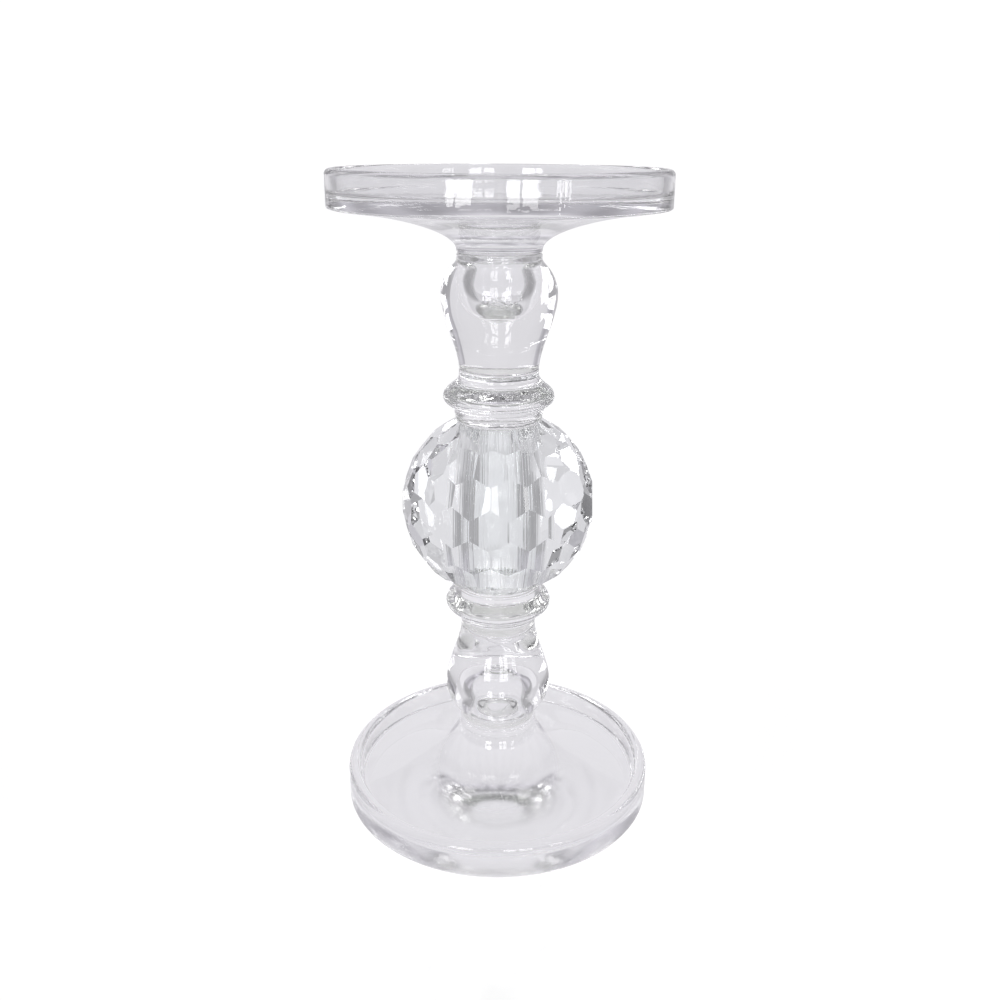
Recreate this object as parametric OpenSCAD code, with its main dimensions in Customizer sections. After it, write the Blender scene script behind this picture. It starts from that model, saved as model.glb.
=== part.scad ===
// Glass pillar candlestick with a facet-cut crystal ball in its stem.
// A dish, two hollow-blown vases, two collars, the ball and the foot are separate pieces of glass,
// stacked on the Z axis and held end to end by thin films of clear adhesive.
// Millimetres, +Z up, origin at the centre of the foot's base.

/* [Candle dish] */
// Outer diameter of the dish
dish_d = 120; // [110:1:140]
// Height of the dish above its joint with the stem
dish_h = 28.2; // [26:0.2:34]
// Depth of the recess that the candle stands in
recess_depth = 8.2; // [6:0.2:9]
// Thickness of the wall around the recess
dish_wall = 3.8; // [3.2:0.1:5]
// Thickness of the dish floor where it meets the wall
dish_floor = 4.7; // [3:0.1:5]

/* [Vases] */
// Diameter of the stem at its joints with the dish and the foot
joint_d = 30.6; // [28:0.2:33]
// Diameter of each vase's narrow end, and of the collar's neck that it joins
waist_d = 29.6; // [27:0.2:31]
// Largest diameter of each vase
vase_d = 42.2; // [38:0.2:48]
// Length of each vase
vase_h = 41.2; // [38:0.2:48]
// Diameter of the hollow blown into each vase's wide end
hollow_d = 21.6; // [19:0.2:24]
// Depth of that hollow
hollow_h = 22; // [19:0.5:24]

/* [Collars] */
// Largest diameter of each collar
collar_d = 41.4; // [38:0.2:46]
// Length of each collar
collar_h = 19.4; // [18:0.2:24]
// Diameter of the collar's end that seats on the ball
seat_d = 32.4; // [31:0.2:34]

/* [Crystal ball] */
// Diameter of the sphere that every facet of the ball touches
ball_flats = 72.2; // [71:0.2:80]
// Height of the ball between its two ground ends
ball_h = 64.6; // [62:0.2:66]
// Height of that sphere's centre above the ball's lower end
ball_centre_h = 31.8; // [31:0.1:33.6]
// Diameter of the hole drilled through the ball
ball_bore_d = 24; // [20:0.5:26]
// Number of facets in each row around the ball
facets_round = 16; // [12:1:20]
// Angle between one row of facets and the next
row_angle = 18.2; // [17:0.2:20]
// Angle that the middle row of facets leans up from the horizontal
row_lean = 2.2; // [0:0.1:3]

/* [Foot] */
// Outer diameter of the foot
foot_d = 125; // [116:1:146]
// Height of the foot up to its joint with the stem
foot_h = 33; // [30:0.5:38]
// Height of the raised rim around the foot
foot_rim_h = 13.2; // [11:0.2:15]
// Width of that rim
foot_rim_w = 5; // [5:0.2:8]
// Thickness of the foot just inside its rim
foot_floor = 5.5; // [4:0.1:6]

/* [Adhesive] */
// Thickness of the clear adhesive film in each joint
bond_t = 0.2; // [0.1:0.05:0.4]

/* [Hidden] */
$fn = 96;
curve_steps = 14;

// Fire-polished edge beside each joint, and the roundings of the dish and the foot
edge_r = 0.7;
dish_edge_r = 0.7;
dish_fillet_r = 1.5;
foot_edge_r = 0.4;
foot_rim_r = 2.8;
foot_rim_inner_r = 2.2;

// How far an adhesive film stays back from the polished edges
bond_setback = 0.1;

// Radii of the stem pieces
joint_r = joint_d / 2;
waist_r = waist_d / 2;
vase_r = vase_d / 2;
hollow_r = hollow_d / 2;
hollow_mouth_r = hollow_r - 1.8;
collar_r = collar_d / 2;
seat_r = seat_d / 2;

// Rows of facets on each side of the ball's equator, and the turn of the whole pattern
rows_each_way = 3;
ball_turn = -5;

// Height of each piece's lower end in the stack
lower_vase_z = foot_h + bond_t;
lower_collar_z = lower_vase_z + vase_h + bond_t;
ball_z = lower_collar_z + collar_h + bond_t;
upper_collar_z = ball_z + ball_h + bond_t;
upper_vase_z = upper_collar_z + collar_h + bond_t;
dish_z = upper_vase_z + vase_h + bond_t;

GLASS = "lavender";
CRYSTAL = "aliceblue";
ADHESIVE = "lightsteelblue";

// ---- Outline helpers: points are [radius, height] on the half section ----

// A cubic curve from p0 to p3, leaving towards p1 and arriving from p2. The first point is left out,
// so that curves join end to end.
function curve(p0, p1, p2, p3) = [
    for (i = [1 : curve_steps])
        let (t = i / curve_steps, u = 1 - t)
        u * u * u * p0 + 3 * u * u * t * p1 + 3 * u * t * t * p2 + t * t * t * p3
];

// A circular arc about a centre, from one angle to another
function arc(centre, r, from, to, steps = 6) = [
    for (i = [0 : steps])
        let (a = from + (to - from) * i / steps)
        centre + r * [cos(a), sin(a)]
];

// The polished outer edge of an end face at radius r and height z, seen going up or going down
function lower_edge(r, z) = arc([r - edge_r, z + edge_r], edge_r, -90, 0, 3);
function upper_edge(r, z) = arc([r - edge_r, z - edge_r], edge_r, 0, 90, 3);

// ---- Candle dish: recess, wall and the flared underside ----

module candle_dish() {
    r = dish_d / 2;
    inner_r = r - dish_wall;
    floor_z = dish_h - recess_depth;
    underside_z = floor_z - dish_floor;
    rim_r = dish_wall / 2;
    color(GLASS, 0.5)
    translate([0, 0, dish_z])
        rotate_extrude()
            polygon(concat(
                [[0, 0]],
                lower_edge(joint_r, 0),
                curve([joint_r, edge_r], [joint_r, 0.38 * underside_z],
                      [r / 2, 0.775 * underside_z], [r - dish_edge_r, underside_z]),
                arc([r - dish_edge_r, underside_z + dish_edge_r], dish_edge_r, -75, 0),
                arc([r - rim_r, dish_h - rim_r], rim_r, 0, 180, 10),
                arc([inner_r - dish_fillet_r, floor_z + dish_fillet_r], dish_fillet_r, 0, -90),
                [[0, floor_z]]
            ));
}

// ---- Vase: solid narrow end at z = 0, hollow wide end at z = vase_h ----

module vase_glass() {
    belly_z = 0.643 * vase_h;
    shoulder = [vase_r - 4.5, vase_h - 4.1];
    throat_z = vase_h - 1.6;
    dome_z = vase_h - hollow_h + hollow_r;
    rotate_extrude()
        polygon(concat(
            [[0, 0]],
            lower_edge(waist_r, 0),
            curve([waist_r, edge_r], [waist_r + 0.8, 0.34 * belly_z],
                  [vase_r, 0.70 * belly_z], [vase_r, belly_z]),
            curve([vase_r, belly_z], [vase_r, belly_z + 4.5],
                  shoulder + [2.3, -2.3], shoulder),
            curve(shoulder, shoulder + [-0.9, 0.9], [joint_r, throat_z - 0.9], [joint_r, throat_z]),
            upper_edge(joint_r, vase_h),
            [[hollow_mouth_r, vase_h]],
            curve([hollow_mouth_r, vase_h], [hollow_mouth_r, vase_h - 1.5],
                  [hollow_r, vase_h - 2], [hollow_r, vase_h - 4.5]),
            arc([0, dome_z], hollow_r, 0, -90, 12)
        ));
}

module lower_vase() {
    color(GLASS, 0.5)
    translate([0, 0, lower_vase_z + vase_h])
        mirror([0, 0, 1])
            vase_glass();
}

module upper_vase() {
    color(GLASS, 0.5)
    translate([0, 0, upper_vase_z])
        vase_glass();
}

// ---- Collar: neck at z = 0, ridge, grooved ring, seat on the ball at z = collar_h ----

module collar_glass() {
    ridge_z = 0.54 * collar_h;
    ring_z = collar_h - 4.4;
    groove_z = collar_h - 2.1;
    groove_d = 0.4;
    rotate_extrude()
        polygon(concat(
            [[0, 0]],
            lower_edge(waist_r, 0),
            [[waist_r, 0.11 * collar_h]],
            curve([waist_r, 0.11 * collar_h], [waist_r + 0.1, 0.24 * collar_h],
                  [collar_r - 3.2, ridge_z - 4.5], [collar_r - 1.4, ridge_z - 2.9]),
            curve([collar_r - 1.4, ridge_z - 2.9], [collar_r - 0.6, ridge_z - 2.2],
                  [collar_r, ridge_z - 1.2], [collar_r, ridge_z]),
            curve([collar_r, ridge_z], [collar_r, ridge_z + 1.2],
                  [collar_r - 0.8, ridge_z + 2], [collar_r - 1.9, ridge_z + 2.8]),
            curve([collar_r - 1.9, ridge_z + 2.8], [collar_r - 3, ridge_z + 3.6],
                  [seat_r + 0.9, ring_z - 0.6], [seat_r + 0.7, ring_z]),
            [[seat_r + 0.3, groove_z - groove_d],
             [seat_r - groove_d, groove_z],
             [seat_r, groove_z + groove_d]],
            upper_edge(seat_r, collar_h),
            [[0, collar_h]]
        ));
}

module lower_collar() {
    color(GLASS, 0.5)
    translate([0, 0, lower_collar_z])
        collar_glass();
}

module upper_collar() {
    color(GLASS, 0.5)
    translate([0, 0, upper_collar_z + collar_h])
        mirror([0, 0, 1])
            collar_glass();
}

// ---- Crystal ball: a ground cylinder cut with rows of flat facets, then drilled through ----

// A block on the inner side of one facet. Every facet touches the same sphere, and every other row
// of facets is turned by half a facet.
module inside_facet(row, i) {
    lean = row_lean + row * row_angle;
    stagger = (row % 2) / 2;
    block = 4 * ball_flats;
    translate([0, 0, ball_centre_h])
        rotate([0, -lean, ball_turn + (i + stagger) * 360 / facets_round])
            translate([(ball_flats - block) / 2, 0, 0])
                cube(block, center = true);
}

// The first piece intersected is the ground cylinder, and the rest are the facets, row by row
module cut_ball() {
    rows = 2 * rows_each_way + 1;
    intersection_for (n = [0 : rows * facets_round])
        if (n == 0)
            cylinder(d = 1.2 * ball_flats, h = ball_h);
        else
            inside_facet(floor((n - 1) / facets_round) - rows_each_way, (n - 1) % facets_round);
}

module faceted_ball() {
    color(CRYSTAL, 0.6)
    translate([0, 0, ball_z])
        difference() {
            cut_ball();
            translate([0, 0, -ball_h / 2])
                cylinder(d = ball_bore_d, h = 2 * ball_h);
        }
}

// ---- Foot: flat base, raised rim, floor that flares up to the stem ----

module foot_plate() {
    r = foot_d / 2;
    inner_r = r - foot_rim_w;
    floor_edge = [inner_r - 1.6, foot_floor];
    color(GLASS, 0.5)
        rotate_extrude()
            polygon(concat(
                [[0, 0]],
                arc([r - foot_edge_r, foot_edge_r], foot_edge_r, -90, 0),
                arc([r - foot_rim_r, foot_rim_h - foot_rim_r], foot_rim_r, 0, 90),
                arc([inner_r + foot_rim_inner_r, foot_rim_h - foot_rim_inner_r], foot_rim_inner_r, 90, 180),
                curve([inner_r, foot_rim_h - foot_rim_inner_r], [inner_r - 0.3, foot_floor + 2],
                      [inner_r - 0.6, foot_floor + 0.2], floor_edge),
                curve(floor_edge, [floor_edge[0] / 2, 0.38 * foot_h],
                      [joint_r, 0.66 * foot_h], [joint_r, foot_h - edge_r]),
                upper_edge(joint_r, foot_h),
                [[0, foot_h]]
            ));
}

// ---- Adhesive films: discs between solid ends, rings around the hollows and the ball's bore ----

module bond(z, outer_r, inner_r = 0) {
    color(ADHESIVE, 0.6)
    translate([0, 0, z - bond_t])
        difference() {
            cylinder(r = outer_r - edge_r - bond_setback, h = bond_t);
            if (inner_r > 0)
                translate([0, 0, -bond_t])
                    cylinder(r = inner_r + bond_setback, h = 3 * bond_t);
        }
}

module foot_bond() bond(lower_vase_z, joint_r, hollow_mouth_r);
module lower_stem_bond() bond(lower_collar_z, waist_r);
module lower_ball_bond() bond(ball_z, seat_r, ball_bore_d / 2);
module upper_ball_bond() bond(upper_collar_z, seat_r, ball_bore_d / 2);
module upper_stem_bond() bond(upper_vase_z, waist_r);
module dish_bond() bond(dish_z, joint_r, hollow_mouth_r);

foot_plate();
lower_vase();
lower_collar();
faceted_ball();
upper_collar();
upper_vase();
candle_dish();
foot_bond();
lower_stem_bond();
lower_ball_bond();
upper_ball_bond();
upper_stem_bond();
dish_bond();
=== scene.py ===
"""Glass candlestick: the looks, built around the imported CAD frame. Metres, +Z up."""

import math

import bmesh
import bpy
from mathutils import Matrix, Vector


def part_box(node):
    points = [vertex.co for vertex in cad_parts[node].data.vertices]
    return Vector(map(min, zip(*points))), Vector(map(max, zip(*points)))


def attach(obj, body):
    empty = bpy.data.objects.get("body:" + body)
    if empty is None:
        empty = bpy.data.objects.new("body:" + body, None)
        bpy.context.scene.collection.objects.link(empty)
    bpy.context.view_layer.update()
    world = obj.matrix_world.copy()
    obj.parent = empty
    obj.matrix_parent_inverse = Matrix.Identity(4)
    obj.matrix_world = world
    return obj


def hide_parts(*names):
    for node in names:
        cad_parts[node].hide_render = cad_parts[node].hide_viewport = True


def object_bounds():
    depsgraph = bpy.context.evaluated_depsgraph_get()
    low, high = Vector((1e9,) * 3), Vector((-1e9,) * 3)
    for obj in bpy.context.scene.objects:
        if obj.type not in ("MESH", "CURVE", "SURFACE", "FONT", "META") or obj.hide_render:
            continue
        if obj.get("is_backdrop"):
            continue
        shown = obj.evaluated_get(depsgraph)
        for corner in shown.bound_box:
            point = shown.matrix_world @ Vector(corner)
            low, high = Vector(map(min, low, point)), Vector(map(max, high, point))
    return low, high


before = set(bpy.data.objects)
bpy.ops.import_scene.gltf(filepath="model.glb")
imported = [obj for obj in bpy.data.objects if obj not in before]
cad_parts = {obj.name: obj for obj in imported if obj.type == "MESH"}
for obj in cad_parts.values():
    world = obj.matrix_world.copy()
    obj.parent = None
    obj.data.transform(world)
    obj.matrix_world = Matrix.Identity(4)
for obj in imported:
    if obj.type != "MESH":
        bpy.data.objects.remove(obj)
CAD_LOW, CAD_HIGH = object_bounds()

MM = 0.001
TINY = 1e-7
NEAR = 0.02 * MM  # how close to a height counts as at it
FLAT = 0.999  # a face lies flat when the upright part of its normal is past this

# How finely the pieces are divided
ROUND = 160  # steps around a turned piece
CURVE_STEPS = 26
ARC_STEPS = 10
BORE_ROUND = 640  # steps around the bore, fine enough for its ripples
BORE_ROWS = 20

# Shape facts that a node's box doesn't give, first those of every joint's ground end
EDGE_R = 0.7 * MM
BOND_SETBACK = 0.1 * MM

# The dish
DISH_RECESS = 8.2 * MM
DISH_WALL = 3.8 * MM
DISH_FLOOR = 4.7 * MM
DISH_EDGE_R = 0.7 * MM
DISH_FILLET_R = 1.5 * MM

# The vases' hollow, and the round ripples that chilling leaves in its bottom
HOLLOW_R = 10.8 * MM
HOLLOW_MOUTH_R = 9 * MM
HOLLOW_H = 22 * MM
CHILL_R = 8 * MM
CHILL_PITCH = 1.9 * MM
CHILL_HEIGHT = 0.16 * MM

# The ball: its bore, its facets' distance from its centre, and how their rows are laid, in degrees
BORE_R = 12 * MM
BORE_RIPPLE = 0.035 * MM
BALL_FLAT_R = 36.1 * MM
BALL_CENTRE_H = 31.8 * MM
FACETS_ROUND = 16
ROWS_EACH_WAY = 3
ROW_ANGLE = 18.2
ROW_LEAN = 2.2
BALL_TURN = -5

# The foot
FOOT_EDGE_R = 0.4 * MM
FOOT_RIM_H = 13.2 * MM
FOOT_RIM_W = 5 * MM
FOOT_RIM_R = 2.8 * MM
FOOT_RIM_INNER_R = 2.2 * MM
FOOT_FLOOR = 5.5 * MM

# Waves of a hand-finished surface: strength, number round the axis, turn for each millimetre of height, and
# how much the piece's own seed shifts it
WAVES = ((0.40, 2, 0.21, 1.0), (0.26, 3, -0.33, 2.1), (0.20, 5, 0.55, 3.7), (0.14, 11, -0.90, 1.3))

# What light keeps as it crosses clear glass, crystal, and the adhesive where its film is thicker and thinner,
# then the scale of that film's unevenness, and where on it the two shades stand
GLASS_TINT = (0.985, 0.985, 0.99)
CRYSTAL_TINT = (0.972, 0.985, 0.984)
BOND_THICK = (0.95, 0.955, 0.945)
BOND_THIN = (0.99, 0.99, 0.985)
BOND_GRAIN = 220
BOND_STOPS = (0.35, 0.65)

# How strongly glass and crystal bend light
GLASS_IOR = 1.5
CRYSTAL_IOR = 1.52

# The table and the air left under the foot's ground base
TABLE_SIZE = 12
TABLE_GAP = 0.1 * MM

# How the bare table shows: its own white, and the strength and blur of its mirror image
TABLE_WHITE = 0.93
TABLE_MIRROR = 0.2
TABLE_BLUR = 0.03

# The pale sheet on the table: its half width beside the foot, how fast it widens towards the back, and where
# its soft edge starts and ends in half widths
SHEET_HALF_WIDTH = 0.1
SHEET_WIDENING = 0.55
SHEET_EDGE = (0.65, 1.5)

# Brightness of the sheet and of the table beside it, and the sheet's shades from the front to the back in
# metres, with the candlestick's own soft shadow behind it
SHEET_GLOW = 0.77
BESIDE_GLOW = 0.4
SHEET_SHADES = ((-1, 0.75), (-0.12, 0.8), (-0.07, 1.02), (0.07, 1.02), (0.16, 0.9), (0.3, 1.0), (3, 1.15))

# Every shade of grey is slightly lavender
LAVENDER = (1.0, 0.988, 1.027)

# The room: the camera's own white, and for the glass its brightness from the camera's side to the far side,
# and from below to above
ROOM_WHITE = 1.05
ROOM_SHADES = ((-1.0, 0.2), (-0.4, 0.2), (0.0, 0.4), (0.5, 0.54), (1.0, 0.44))
CEILING_SHADES = ((-1.0, 1.0), (0.35, 1.0), (0.55, 0.9), (0.72, 1.4), (1.0, 0.8))

# Upright light and dark bars all round the room: how many, and their contrast beside and far behind
ROOM_BARS = 15
BAR_CONTRAST = 0.34
BAR_FAR_CONTRAST = 0.1

# A pale card that stands behind the candlestick and glows, and its painted brightness from foot to top
CARD_Y = 0.2
CARD_HALF_WIDTH = 0.17
CARD_TOP = 0.3
CARD_SHADES = ((0.0, 0.87), (0.09, 0.81), (0.18, 0.77), (0.3, 0.74))

# Tall windows on the camera's side: the direction in degrees from the camera, the width in degrees and the
# brightness of each, then their distance, and the foot and top of their two rows of panes
WINDOWS = (
    (-30.4, 4.6, 8),
    (-22, 10, 8),
    (8.2, 8, 6),
    (18.7, 9.2, 6),
    (37, 1.2, 6),
    (40, 1.2, 6),
    (43, 1.6, 6),
)
WINDOW_DISTANCE = 1.4
PANE_ROWS = ((0.155, 0.42), (0.47, 0.78))

# The camera: its place, its angles in degrees, and its lens
CAMERA_PLACE = (0, -0.3618, 0.25827)
CAMERA_DOWN = 20.03
CAMERA_ROLL = 0.25
CAMERA_PAN = -0.09
CAMERA_LENS = 35.87


# ---- Outlines: lists of (radius, height, unevenness) on the half section ----

def point(r, z, wave=0.0):
    """A point of an outline."""
    return Vector((r, z, wave))


def cubic(p0, p1, p2, p3, steps=CURVE_STEPS):
    """A cubic curve from p0 to p3, without its first point."""
    points = []
    for i in range(1, steps + 1):
        t = i / steps
        u = 1 - t
        points.append(u * u * u * p0 + 3 * u * u * t * p1 + 3 * u * t * t * p2 + t * t * t * p3)
    return points


def arc(r, z, radius, start, end, steps=ARC_STEPS, wave=0.0):
    """A circular arc about (r, z), between two angles in degrees."""
    points = []
    for i in range(steps + 1):
        a = math.radians(start + (end - start) * i / steps)
        points.append(point(r + radius * math.cos(a), z + radius * math.sin(a), wave))
    return points


def lower_edge(r, z):
    """The rounded edge of a ground end that faces down."""
    return arc(r - EDGE_R, z + EDGE_R, EDGE_R, -90, 0, 6)


def upper_edge(r, z):
    """The rounded edge of a ground end that faces up."""
    return arc(r - EDGE_R, z - EDGE_R, EDGE_R, 0, 90, 6)


def spaced(outline, longest=1.4 * MM, support=0.12 * MM):
    """The outline with long straight stretches divided, and a point close to each end of them, so that
    smooth shading doesn't spread from a rounding over the flat beside it."""
    points = [outline[0]]
    for a, b in zip(outline, outline[1:]):
        length = (b.xy - a.xy).length
        if length > longest:
            stops = [support / length]
            count = math.ceil((length - 2 * support) / longest)
            stops += [(support + (length - 2 * support) * i / count) / length for i in range(1, count)]
            stops.append(1 - support / length)
            points += [a.lerp(b, t) for t in stops]
        points.append(b)
    return points


def dish_outline(low, high):
    """Flared underside, raised wall and a flat recess."""
    r = high.x
    base = low.z
    joint_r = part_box("dish_bond")[1].x + EDGE_R + BOND_SETBACK
    inner_r = r - DISH_WALL
    floor_z = high.z - DISH_RECESS
    under = floor_z - DISH_FLOOR - base
    rim_r = DISH_WALL / 2
    return [
        point(0, base), *lower_edge(joint_r, base),
        *cubic(point(joint_r, base + EDGE_R), point(joint_r, base + 0.38 * under, 1),
               point(r / 2, base + 0.775 * under, 1), point(r - DISH_EDGE_R, base + under, 1), 60),
        *arc(r - DISH_EDGE_R, base + under + DISH_EDGE_R, DISH_EDGE_R, -75, 0),
        *arc(r - rim_r, high.z - rim_r, rim_r, 0, 180, 20),
        *arc(inner_r - DISH_FILLET_R, floor_z + DISH_FILLET_R, DISH_FILLET_R, 0, -90),
        point(0, floor_z),
    ]


def vase_outline(low, high):
    """Solid narrow end at the bottom, hollow wide end at the top."""
    base, top = low.z, high.z
    height = top - base
    r = high.x
    waist_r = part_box("upper_stem_bond")[1].x + EDGE_R + BOND_SETBACK
    joint_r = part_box("dish_bond")[1].x + EDGE_R + BOND_SETBACK
    belly = base + 0.643 * height
    shoulder = point(r - 4.5 * MM, top - 4.1 * MM, 1)
    throat = top - 1.6 * MM
    dome = top - HOLLOW_H + HOLLOW_R
    return [
        point(0, base), *lower_edge(waist_r, base),
        *cubic(point(waist_r, base + EDGE_R), point(waist_r + 0.8 * MM, base + 0.34 * (belly - base), 1),
               point(r, base + 0.70 * (belly - base), 1), point(r, belly, 1), 40),
        *cubic(point(r, belly, 1), point(r, belly + 4.5 * MM, 1),
               shoulder + point(2.3 * MM, -2.3 * MM), shoulder),
        *cubic(shoulder, shoulder + point(-0.9 * MM, 0.9 * MM),
               point(joint_r, throat - 0.9 * MM), point(joint_r, throat)),
        *upper_edge(joint_r, top),
        point(HOLLOW_MOUTH_R, top),
        *cubic(point(HOLLOW_MOUTH_R, top), point(HOLLOW_MOUTH_R, top - 1.5 * MM, 1),
               point(HOLLOW_R, top - 2 * MM, 1), point(HOLLOW_R, top - 4.5 * MM, 1)),
        *[chilled(p) for p in arc(0, dome, HOLLOW_R, 0, -90, 90, 1)],
    ]


def chilled(p):
    """A point of the hollow's wall, moved by the round ripples that chilling leaves in its bottom."""
    fade = max(0, 1 - p.x / CHILL_R)
    ripple = CHILL_HEIGHT * fade * math.sin(2 * math.pi * p.x / CHILL_PITCH)
    return point(p.x, p.y + ripple, p.z)


def collar_outline(low, high):
    """Neck at the bottom, seat on the ball at the top."""
    base, top = low.z, high.z
    height = top - base
    r = high.x
    neck_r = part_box("upper_stem_bond")[1].x + EDGE_R + BOND_SETBACK
    seat_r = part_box("upper_ball_bond")[1].x + EDGE_R + BOND_SETBACK
    ridge = base + 0.54 * height
    ring = top - 4.4 * MM
    groove = top - 2.1 * MM
    return [
        point(0, base), *lower_edge(neck_r, base),
        point(neck_r, base + 0.11 * height),
        *cubic(point(neck_r, base + 0.11 * height), point(neck_r + 0.1 * MM, base + 0.24 * height, 1),
               point(r - 3.2 * MM, ridge - 4.5 * MM, 1), point(r - 1.4 * MM, ridge - 2.9 * MM, 1)),
        *cubic(point(r - 1.4 * MM, ridge - 2.9 * MM, 1), point(r - 0.6 * MM, ridge - 2.2 * MM, 1),
               point(r, ridge - 1.2 * MM, 1), point(r, ridge, 1), 12),
        *cubic(point(r, ridge, 1), point(r, ridge + 1.2 * MM, 1),
               point(r - 0.8 * MM, ridge + 2 * MM, 1), point(r - 1.9 * MM, ridge + 2.8 * MM, 1), 12),
        *cubic(point(r - 1.9 * MM, ridge + 2.8 * MM, 1), point(r - 3 * MM, ridge + 3.6 * MM, 1),
               point(seat_r + 0.9 * MM, ring - 0.6 * MM), point(seat_r + 0.7 * MM, ring), 14),
        point(seat_r + 0.3 * MM, groove - 0.4 * MM), point(seat_r - 0.4 * MM, groove),
        point(seat_r, groove + 0.4 * MM),
        *upper_edge(seat_r, top), point(0, top),
    ]


def foot_outline(low, high):
    """Flat base, raised rim, and a floor that rises to the stem."""
    r = high.x
    base, top = low.z, high.z
    height = top - base
    joint_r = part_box("foot_bond")[1].x + EDGE_R + BOND_SETBACK
    inner_r = r - FOOT_RIM_W
    rim_z = base + FOOT_RIM_H
    floor_r, floor_z = inner_r - 1.6 * MM, base + FOOT_FLOOR
    wall_z = rim_z - FOOT_RIM_INNER_R
    return [
        point(0, base),
        *arc(r - FOOT_EDGE_R, base + FOOT_EDGE_R, FOOT_EDGE_R, -90, 0, 5),
        *arc(r - FOOT_RIM_R, rim_z - FOOT_RIM_R, FOOT_RIM_R, 0, 90, 12),
        *arc(inner_r + FOOT_RIM_INNER_R, wall_z, FOOT_RIM_INNER_R, 90, 180, 12),
        *cubic(point(inner_r, wall_z), point(inner_r - 0.3 * MM, floor_z + 2 * MM),
               point(inner_r - 0.6 * MM, floor_z + 0.2 * MM), point(floor_r, floor_z, 1), 16),
        *cubic(point(floor_r, floor_z, 1), point(floor_r / 2, base + 0.38 * height, 1),
               point(joint_r, base + 0.66 * height, 1), point(joint_r, top - EDGE_R), 70),
        *upper_edge(joint_r, top), point(0, top),
    ]


def upside_down(outline, low, high):
    """The same outline mirrored between two heights, still running from the lower end to the upper."""
    return [point(p.x, low.z + high.z - p.y, p.z) for p in reversed(outline)]


# ---- Turned glass ----

def unevenness(angle, z, seed):
    """The slight waviness of a hand-finished surface, from -1 to 1."""
    return sum(strength * math.sin(number * angle + twist * z / MM + shift * seed)
               for strength, number, twist, shift in WAVES)


def turned(name, outline, wave_height, seed):
    """A closed smooth mesh turned about the Z axis."""
    outline = spaced(outline)
    bm = bmesh.new()
    rings = []
    for p in outline:
        if p.x < TINY:
            rings.append([bm.verts.new((0, 0, p.y))])
            continue
        ring = []
        for i in range(ROUND):
            a = 2 * math.pi * i / ROUND
            r = p.x + wave_height * p.z * unevenness(a, p.y, seed)
            ring.append(bm.verts.new((r * math.cos(a), r * math.sin(a), p.y)))
        rings.append(ring)
    for a, b in zip(rings, rings[1:]):
        for i in range(ROUND):
            j = (i + 1) % ROUND
            corners = [a[i % len(a)], a[j % len(a)], b[j % len(b)], b[i % len(b)]]
            face = []
            for v in corners:
                if v not in face:
                    face.append(v)
            bm.faces.new(face)
    bmesh.ops.recalc_face_normals(bm, faces=bm.faces)
    for f in bm.faces:
        f.smooth = True
    return new_object(bm, name)


def new_object(bm, name):
    """Turns the mesh being built into an object of the scene."""
    mesh = bpy.data.meshes.new(name)
    bm.to_mesh(mesh)
    bm.free()
    obj = bpy.data.objects.new(name, mesh)
    bpy.context.scene.collection.objects.link(obj)
    return obj


def ground_faces(obj, z):
    """Gives the flat faces at one height the piece's last material."""
    for face in obj.data.polygons:
        if abs(face.normal.z) > FLAT and abs(face.center.z - z) < NEAR:
            face.material_index = len(obj.data.materials) - 1


def bonded_faces(obj, film, inner_r):
    """Gives the faces that an adhesive film covers the piece's second material, which doesn't bend light."""
    low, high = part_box(film)
    for face in obj.data.polygons:
        c = face.center
        flat = abs(face.normal.z) > FLAT
        near = low.z - NEAR < c.z < high.z + NEAR
        r = math.hypot(c.x, c.y)
        if flat and near and inner_r < r < high.x:
            face.material_index = 1


# ---- Crystal ball ----

def faceted_ball(low, high):
    """A ground cylinder cut by every facet's plane, with its bore and the seat rings on its two ends."""
    centre = Vector((0, 0, low.z + BALL_CENTRE_H))
    bm = bmesh.new()
    bmesh.ops.create_cone(bm, cap_ends=True, segments=8, radius1=2 * BALL_FLAT_R, radius2=2 * BALL_FLAT_R,
                          depth=high.z - low.z)
    bmesh.ops.translate(bm, verts=bm.verts, vec=(0, 0, (low.z + high.z) / 2))
    for row in range(-ROWS_EACH_WAY, ROWS_EACH_WAY + 1):
        lean = math.radians(ROW_LEAN + row * ROW_ANGLE)
        for i in range(FACETS_ROUND):
            turn = math.radians(BALL_TURN + (i + (row % 2) / 2) * 360 / FACETS_ROUND)
            out = Vector((math.cos(lean) * math.cos(turn), math.cos(lean) * math.sin(turn), math.sin(lean)))
            cut_facet(bm, centre + out * BALL_FLAT_R, out)
    bmesh.ops.recalc_face_normals(bm, faces=bm.faces)
    drill_bore(bm, low.z, high.z)
    bmesh.ops.recalc_face_normals(bm, faces=bm.faces)
    return new_object(bm, "faceted_crystal_ball")


def cut_facet(bm, place, out):
    """Cuts away all that lies outside one plane, and closes the cut with a flat face."""
    cut = bmesh.ops.bisect_plane(bm, geom=[*bm.verts, *bm.edges, *bm.faces], dist=TINY,
                                 plane_co=place, plane_no=out, clear_outer=True)
    rim = [e for e in cut["geom_cut"] if isinstance(e, bmesh.types.BMEdge)]
    if rim:
        bmesh.ops.edgeloop_fill(bm, edges=rim)


def drill_bore(bm, base, top):
    """Opens both ends of the ball, and joins them with the bore's wall."""
    mouths = [ball_end(bm, z) for z in (base, top)]
    rows = [mouths[0]]
    for k in range(1, BORE_ROWS):
        z = base + (top - base) * k / BORE_ROWS
        rows.append(ring_of_points(bm, lambda a: bore_radius(a, z), z, BORE_ROUND))
    rows.append(mouths[1])
    for a, b in zip(rows, rows[1:]):
        for face in band_of_faces(bm, a, b):
            face.smooth = True


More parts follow.
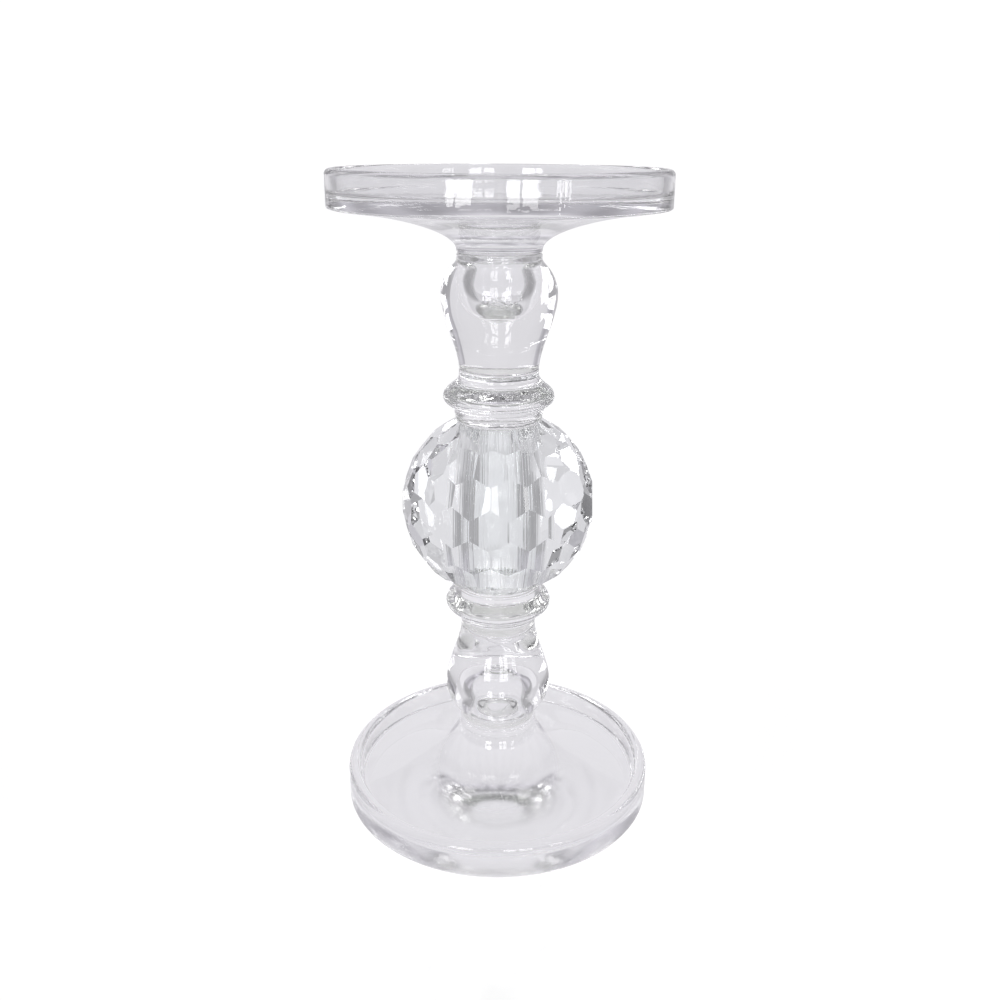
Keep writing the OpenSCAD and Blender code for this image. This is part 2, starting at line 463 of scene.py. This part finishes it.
def band_of_faces(bm, a, b):
    """Four-sided faces between two rings that have the same number of points."""
    count = len(a)
    return [bm.faces.new((a[i], a[(i + 1) % count], b[(i + 1) % count], b[i])) for i in range(count)]


def ring_of_points(bm, radius_at, z, count):
    """A ring of points about the Z axis, its radius a function of the angle."""
    angles = [2 * math.pi * i / count for i in range(count)]
    return [bm.verts.new((radius_at(a) * math.cos(a), radius_at(a) * math.sin(a), z)) for a in angles]


def bore_radius(angle, z):
    """The drilled wall, with the upright ripples that the drill leaves."""
    k = z / MM
    ripple = (math.sin(23 * angle + 0.6 * math.sin(0.11 * k)) + 0.7 * math.sin(41 * angle + 1.3)
              + 0.5 * math.sin(67 * angle + 0.9 * math.sin(0.17 * k)) + 0.35 * math.sin(103 * angle + 2.2))
    return BORE_R + BORE_RIPPLE * ripple


def ball_end(bm, z):
    """Opens one flat end of the ball to its bore, and returns the ring of points around the bore's mouth."""
    caps = [f for f in bm.faces if abs(f.normal.z) > FLAT and abs(f.calc_center_median().z - z) < NEAR]
    cap = max(caps, key=lambda f: f.calc_area())
    border = list(cap.edges)
    bmesh.ops.delete(bm, geom=[cap], context="FACES_ONLY")
    rings = []
    for r in (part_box("upper_ball_bond")[1].x, BORE_R + BOND_SETBACK):
        rings.append(ring_of_points(bm, lambda a: r, z, BORE_ROUND))
    rings.append(ring_of_points(bm, lambda a: bore_radius(a, z), z, BORE_ROUND))
    outer = [bm.edges.new((rings[0][i], rings[0][(i + 1) % BORE_ROUND])) for i in range(BORE_ROUND)]
    bmesh.ops.triangle_fill(bm, use_beauty=True, edges=border + outer)
    for a, b in zip(rings, rings[1:]):
        band_of_faces(bm, a, b)
    return rings[-1]


# ---- Materials ----

def new_material(name):
    """An empty node material, with its nodes and links."""
    material = bpy.data.materials.new(name)
    material.use_nodes = True
    nodes = material.node_tree.nodes
    nodes.clear()
    return material, nodes, material.node_tree.links


def add_noise(nodes, links, scale, detail):
    """Noise in the object's own space, from 0 to 1."""
    place = nodes.new("ShaderNodeTexCoord")
    noise = nodes.new("ShaderNodeTexNoise")
    noise.inputs["Scale"].default_value = scale
    noise.inputs["Detail"].default_value = detail
    links.new(place.outputs["Object"], noise.inputs["Vector"])
    return noise.outputs["Fac"]


def add_bump(nodes, links, shader, scale, strength):
    """Fine unevenness of the surface."""
    bump = nodes.new("ShaderNodeBump")
    bump.inputs["Strength"].default_value = strength
    bump.inputs["Distance"].default_value = MM
    links.new(add_noise(nodes, links, scale, detail=3), bump.inputs["Height"])
    links.new(bump.outputs["Normal"], shader.inputs["Normal"])


def glass_material(name, tint, ior, scale, strength, roughness=0.0):
    """Clear glass, with a bump of the given scale and strength."""
    material, nodes, links = new_material(name)
    shader = nodes.new("ShaderNodeBsdfPrincipled")
    output = nodes.new("ShaderNodeOutputMaterial")
    shader.inputs["Base Color"].default_value = (*tint, 1)
    shader.inputs["Roughness"].default_value = roughness
    shader.inputs["IOR"].default_value = ior
    shader.inputs["Transmission Weight"].default_value = 1.0
    add_bump(nodes, links, shader, scale, strength)
    links.new(shader.outputs["BSDF"], output.inputs["Surface"])
    return material


def bonded_material():
    """Glass in contact with cured adhesive of the same refraction: light goes straight through."""
    material, nodes, links = new_material("bonded_glass")
    ramp = nodes.new("ShaderNodeValToRGB")
    clear = nodes.new("ShaderNodeBsdfTransparent")
    output = nodes.new("ShaderNodeOutputMaterial")
    for element, stop, tint in zip(ramp.color_ramp.elements, BOND_STOPS, (BOND_THICK, BOND_THIN)):
        element.position = stop
        element.color = (*tint, 1)
    links.new(add_noise(nodes, links, BOND_GRAIN, detail=4), ramp.inputs["Fac"])
    links.new(ramp.outputs["Color"], clear.inputs["Color"])
    links.new(clear.outputs["BSDF"], output.inputs["Surface"])
    return material


def table_material():
    """The camera sees the bare table, and the glass sees the pale sheet on it."""
    material, nodes, links = new_material("white_table")
    mix = camera_mix(nodes, links, sheet(nodes, links), bare_table(nodes, links))
    output = nodes.new("ShaderNodeOutputMaterial")
    links.new(mix, output.inputs["Surface"])
    return material


def camera_mix(nodes, links, seen_by_glass, seen_by_camera):
    """One look for what the camera sees straight, and another for what shows in or through something."""
    path = nodes.new("ShaderNodeLightPath")
    mix = nodes.new("ShaderNodeMixShader")
    links.new(path.outputs["Is Camera Ray"], mix.inputs["Fac"])
    links.new(seen_by_glass, mix.inputs[1])
    links.new(seen_by_camera, mix.inputs[2])
    return mix.outputs["Shader"]


def bare_table(nodes, links):
    """Plain white, with a faint mirror image."""
    white = nodes.new("ShaderNodeEmission")
    mirror = nodes.new("ShaderNodeBsdfGlossy")
    bare = nodes.new("ShaderNodeAddShader")
    white.inputs["Color"].default_value = (TABLE_WHITE, TABLE_WHITE, TABLE_WHITE, 1)
    mirror.inputs["Color"].default_value = (TABLE_MIRROR, TABLE_MIRROR, TABLE_MIRROR, 1)
    mirror.inputs["Roughness"].default_value = TABLE_BLUR
    links.new(white.outputs["Emission"], bare.inputs[0])
    links.new(mirror.outputs["BSDF"], bare.inputs[1])
    return bare.outputs["Shader"]


def sheet(nodes, links):
    """A pale sheet that widens towards the back. The darker table beside it draws the glass's edges."""
    place = nodes.new("ShaderNodeTexCoord")
    split = nodes.new("ShaderNodeSeparateXYZ")
    # Painted light: the sheet glows, and its shades paint the candlestick's soft shadow behind it
    painted_glow = nodes.new("ShaderNodeEmission")
    links.new(place.outputs["Object"], split.inputs["Vector"])
    aside = calculate(nodes, links, "ABSOLUTE", split.outputs["X"])
    back = calculate(nodes, links, "MAXIMUM", split.outputs["Y"], 0.0)
    wider = calculate(nodes, links, "MULTIPLY", back, SHEET_WIDENING)
    half_width = calculate(nodes, links, "ADD", wider, SHEET_HALF_WIDTH)
    beyond = calculate(nodes, links, "DIVIDE", aside, half_width)
    glow = smooth_step(nodes, links, beyond, *SHEET_EDGE, SHEET_GLOW, BESIDE_GLOW)
    links.new(glow, painted_glow.inputs["Strength"])
    links.new(shade_ramp(nodes, links, split.outputs["Y"], SHEET_SHADES), painted_glow.inputs["Color"])
    return painted_glow.outputs["Emission"]


def card_material():
    """Painted light: the card glows, darker towards its top."""
    material, nodes, links = new_material("pale_card")
    place = nodes.new("ShaderNodeNewGeometry")
    split = nodes.new("ShaderNodeSeparateXYZ")
    painted_glow = nodes.new("ShaderNodeEmission")
    output = nodes.new("ShaderNodeOutputMaterial")
    links.new(place.outputs["Position"], split.inputs["Vector"])
    links.new(shade_ramp(nodes, links, split.outputs["Z"], CARD_SHADES), painted_glow.inputs["Color"])
    links.new(painted_glow.outputs["Emission"], output.inputs["Surface"])
    return material


def smooth_step(nodes, links, value, start, end, first, last):
    """Goes smoothly from the first shade to the last one, as the value goes from start to end."""
    step = nodes.new("ShaderNodeMapRange")
    step.interpolation_type = "SMOOTHSTEP"
    step.inputs["From Min"].default_value = start
    step.inputs["From Max"].default_value = end
    step.inputs["To Min"].default_value = first
    step.inputs["To Max"].default_value = last
    links.new(value, step.inputs["Value"])
    return step.outputs["Result"]


def shade_ramp(nodes, links, value, shades):
    """Shades of grey along one axis, as pairs of a place on the axis and a brightness."""
    first, last = shades[0][0], shades[-1][0]
    span = nodes.new("ShaderNodeMapRange")
    ramp = nodes.new("ShaderNodeValToRGB")
    span.inputs["From Min"].default_value = first
    span.inputs["From Max"].default_value = last
    ramp.color_ramp.interpolation = "EASE"
    for _ in range(len(shades) - 2):
        ramp.color_ramp.elements.new(0.5)
    for element, (stop, shade) in zip(ramp.color_ramp.elements, shades):
        element.position = (stop - first) / (last - first)
        element.color = (*(shade * part for part in LAVENDER), 1)
    links.new(value, span.inputs["Value"])
    links.new(span.outputs["Result"], ramp.inputs["Fac"])
    return ramp.outputs["Color"]


def calculate(nodes, links, operation, a, b=None):
    """One Math node. A value is a number or another node's output."""
    node = nodes.new("ShaderNodeMath")
    node.operation = operation
    for socket, value in zip(node.inputs, (a, b)):
        if isinstance(value, (int, float)):
            socket.default_value = value
        elif value is not None:
            links.new(value, socket)
    return node.outputs["Value"]


# ---- Build the pieces ----

GLASS = glass_material("pressed_glass", GLASS_TINT, GLASS_IOR, scale=90, strength=0.06)
COLLAR_GLASS = glass_material("pressed_collar_glass", GLASS_TINT, GLASS_IOR, scale=110, strength=0.2)
GROUND = glass_material("ground_base_glass", GLASS_TINT, GLASS_IOR, scale=60, strength=0.03, roughness=0.1)
CRYSTAL = glass_material("cut_crystal", CRYSTAL_TINT, CRYSTAL_IOR, scale=60, strength=0.005)
BONDED = bonded_material()

# Where the films that go round a hollow or the bore start
AROUND_HOLLOW = HOLLOW_MOUTH_R + BOND_SETBACK
AROUND_BORE = BORE_R + BOND_SETBACK

# Each turned piece: its name, its CAD node, its outline, whether it is made the other way up, how uneven its
# surface is in millimetres, and the films that it meets, with the radius that each film starts from
TURNED = (
    ("pressed_candle_dish", "candle_dish", dish_outline, False, 0.05,
     {"dish_bond": AROUND_HOLLOW}),
    ("blown_upper_vase", "upper_vase", vase_outline, False, 0.06,
     {"dish_bond": AROUND_HOLLOW, "upper_stem_bond": 0}),
    ("blown_lower_vase", "lower_vase", vase_outline, True, 0.06,
     {"foot_bond": AROUND_HOLLOW, "lower_stem_bond": 0}),
    ("pressed_lower_collar", "lower_collar", collar_outline, False, 0.1,
     {"lower_stem_bond": 0, "lower_ball_bond": AROUND_BORE}),
    ("pressed_upper_collar", "upper_collar", collar_outline, True, 0.1,
     {"upper_stem_bond": 0, "upper_ball_bond": AROUND_BORE}),
    ("pressed_foot_plate", "foot_plate", foot_outline, False, 0.05,
     {"foot_bond": AROUND_HOLLOW}),
)


def finish_piece(obj, node, glass, films):
    """Gives the piece its materials, and puts it in its CAD node's place."""
    obj.data.materials.append(glass)
    obj.data.materials.append(BONDED)
    for film, inner_r in films.items():
        bonded_faces(obj, film, inner_r)
    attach(obj, "root")
    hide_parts(node)


for seed, (name, node, outline_of, inverted, wave, films) in enumerate(TURNED, start=1):
    low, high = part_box(node)
    outline = outline_of(low, high)
    if inverted:
        outline = upside_down(outline, low, high)
    piece = turned(name, outline, wave * MM, seed)
    glass = COLLAR_GLASS if outline_of is collar_outline else GLASS
    finish_piece(piece, node, glass, films)
    if node == "foot_plate":
        piece.data.materials.append(GROUND)
        ground_faces(piece, low.z)

low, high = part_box("faceted_ball")
finish_piece(faceted_ball(low, high), "faceted_ball", CRYSTAL,
             {"upper_ball_bond": AROUND_BORE, "lower_ball_bond": AROUND_BORE})

for name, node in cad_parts.items():
    if name.endswith("_bond"):
        node.data.materials.clear()
        node.data.materials.append(BONDED)


# ---- Table, light and camera ----

def table():
    """The table, just below the foot."""
    bpy.ops.mesh.primitive_plane_add(size=TABLE_SIZE, location=(0, 0, CAD_LOW.z - TABLE_GAP))
    obj = bpy.context.object
    obj.name = "white_table"
    obj.data.materials.append(table_material())
    obj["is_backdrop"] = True


def room():
    """The camera sees plain white, and the glass sees a graded room with upright bars."""
    world = bpy.data.worlds.new("studio")
    bpy.context.scene.world = world
    world.use_nodes = True
    nodes, links = world.node_tree.nodes, world.node_tree.links
    place = nodes.new("ShaderNodeTexCoord")
    split = nodes.new("ShaderNodeSeparateXYZ")
    graded = nodes["Background"]
    white = nodes.new("ShaderNodeBackground")
    white.inputs["Color"].default_value = (1, 1, 1, 1)
    white.inputs["Strength"].default_value = ROOM_WHITE
    links.new(place.outputs["Generated"], split.inputs["Vector"])
    links.new(room_shade(nodes, links, split.outputs), graded.inputs["Color"])
    links.new(room_bars(nodes, links, split.outputs), graded.inputs["Strength"])
    mix = camera_mix(nodes, links, graded.outputs["Background"], white.outputs["Background"])
    links.new(mix, nodes["World Output"].inputs["Surface"])


def room_shade(nodes, links, direction):
    """The shade across the room, times the shade up it."""
    both = nodes.new("ShaderNodeMix")
    both.data_type = "RGBA"
    both.blend_type = "MULTIPLY"
    both.inputs["Factor"].default_value = 1
    links.new(shade_ramp(nodes, links, direction["Y"], ROOM_SHADES), both.inputs["A"])
    links.new(shade_ramp(nodes, links, direction["Z"], CEILING_SHADES), both.inputs["B"])
    return both.outputs["Result"]


def room_bars(nodes, links, direction):
    """The bars' strength, which swings about 1."""
    azimuth = calculate(nodes, links, "ARCTAN2", direction["X"], direction["Y"])
    turns = calculate(nodes, links, "MULTIPLY", azimuth, ROOM_BARS)
    swing = calculate(nodes, links, "SINE", turns)
    fading = calculate(nodes, links, "MULTIPLY", direction["Y"], BAR_CONTRAST - BAR_FAR_CONTRAST)
    contrast = calculate(nodes, links, "SUBTRACT", BAR_CONTRAST, fading)
    bars = calculate(nodes, links, "MULTIPLY", swing, contrast)
    return calculate(nodes, links, "ADD", bars, 1.0)


def card():
    """The pale card. The camera doesn't see it straight, so the ground behind the candlestick stays white."""
    half_height = CARD_TOP / 2
    bpy.ops.mesh.primitive_plane_add(size=2, location=(0, CARD_Y, half_height))
    obj = bpy.context.object
    obj.name = "pale_card"
    obj.rotation_euler = (math.radians(90), 0, 0)
    obj.scale = (CARD_HALF_WIDTH, half_height, 1)
    obj.visible_camera = False
    obj.data.materials.append(card_material())
    obj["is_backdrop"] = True


def window_pane(azimuth, width, radiance, foot, top):
    """One upright pane, which lights the glass and shows in it. The camera doesn't see it straight."""
    data = bpy.data.lights.new("window", "AREA")
    data.shape = "RECTANGLE"
    data.size = 2 * WINDOW_DISTANCE * math.tan(math.radians(width / 2))
    data.size_y = top - foot
    data.energy = radiance * math.pi * data.size * data.size_y
    lamp = bpy.data.objects.new("window", data)
    a = math.radians(azimuth)
    lamp.location = (WINDOW_DISTANCE * math.sin(a), -WINDOW_DISTANCE * math.cos(a), (top + foot) / 2)
    lamp.rotation_euler = (math.radians(-90), 0, a + math.pi)
    lamp.visible_camera = False
    bpy.context.scene.collection.objects.link(lamp)


def camera():
    """The camera, in front of the candlestick and looking down at it."""
    data = bpy.data.cameras.new("camera")
    data.sensor_width = 36
    data.lens = CAMERA_LENS
    data.clip_start = 0.01
    obj = bpy.data.objects.new("camera", data)
    bpy.context.scene.collection.objects.link(obj)
    obj.location = CAMERA_PLACE
    pan = Matrix.Rotation(math.radians(CAMERA_PAN), 4, "Z")
    tilt = Matrix.Rotation(math.radians(90 - CAMERA_DOWN), 4, "X")
    roll = Matrix.Rotation(math.radians(CAMERA_ROLL), 4, "Z")
    obj.rotation_euler = (pan @ tilt @ roll).to_euler()
    bpy.context.scene.camera = obj


table()
room()
card()
for azimuth, width, radiance in WINDOWS:
    for foot, top in PANE_ROWS:
        window_pane(azimuth, width, radiance, foot, top)
camera()

# Light crosses many glass surfaces before it comes out
scene = bpy.context.scene
scene.view_settings.view_transform = "Standard"
scene.cycles.max_bounces = 48
scene.cycles.transmission_bounces = 48
scene.cycles.glossy_bounces = 24
scene.cycles.transparent_max_bounces = 96

low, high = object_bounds()
